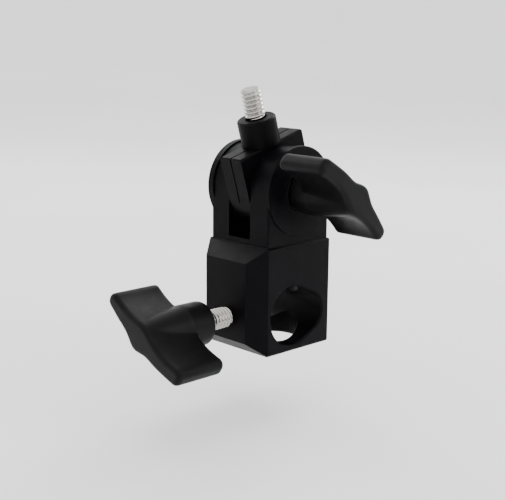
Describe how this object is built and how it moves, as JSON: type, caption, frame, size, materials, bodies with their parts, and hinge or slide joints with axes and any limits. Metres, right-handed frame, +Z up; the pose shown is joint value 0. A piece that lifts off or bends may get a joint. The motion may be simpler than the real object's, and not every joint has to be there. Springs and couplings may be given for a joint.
{
  "type": "swivel bracket",
  "caption": "Block with a stand bore and a cross socket below and a forked, tilting lamp mount above, each clamped by a wing knob.",
  "frame": {"origin": "on the axis of the stand bore, at the bottom face of the block", "axes": "+Z up the stand bore, the lock knob on -X, the tilt knob on -Y, the tilt axis along Y"},
  "size_m": [0.0653, 0.0498, 0.0794],
  "materials": {
    "black_casting": "satin",
    "black_tongue": "satin",
    "black_collar": "matt",
    "black_plastic": "satin",
    "steel": "zinc plated",
    "brass": "turned",
    "fibre": "matt"
  },
  "bodies": {
    "yoke": {"yoke_body": "black_casting", "lock_bush": "black_collar", "tilt_bolt": "steel"},
    "head": {"tilt_head": "black_tongue", "friction_washer_front": "fibre", "friction_washer_back": "fibre", "lamp_spacer": "black_collar", "lamp_stud": "steel"},
    "lock_pad": {"lock_tip": "brass"},
    "lock_grip": {"lock_knob": "black_plastic", "lock_screw": "steel"},
    "tilt_pad": {"tilt_washer": "steel"},
    "tilt_grip": {"tilt_knob": "black_plastic", "tilt_knob_insert": "brass"}
  },
  "joints": [
    {"name": "head_tilt", "type": "hinge", "parent": "yoke", "child": "head", "pos_m": [-0.0014, 0, 0.0489], "axis": [0, -1, 0], "range_deg": [-106.8, 73.2]},
    {"name": "lock_pad_slide", "type": "slide", "parent": "yoke", "child": "lock_pad", "axis": [1, 0, 0], "range_m": [-0.0051, 0.00256]},
    {"name": "lock_turn", "type": "hinge", "parent": "lock_pad", "child": "lock_grip", "pos_m": [-0.0287, 0, 0.011], "axis": [1, 0, 0], "range_deg": [-1440, 720]},
    {"name": "tilt_pad_slide", "type": "slide", "parent": "yoke", "child": "tilt_pad", "axis": [0, -1, 0], "range_m": [0, 0.00192]},
    {"name": "tilt_turn", "type": "hinge", "parent": "tilt_pad", "child": "tilt_grip", "pos_m": [-0.0014, -0.0137, 0.0489], "axis": [0, -1, 0], "range_deg": [0, 540]}
  ],
  "couplings": [
    {"joint": "lock_pad_slide", "follows": "lock_turn", "m_per_rad": 0.00020213},
    {"joint": "tilt_pad_slide", "follows": "tilt_turn", "m_per_rad": 0.00020213}
  ]
}
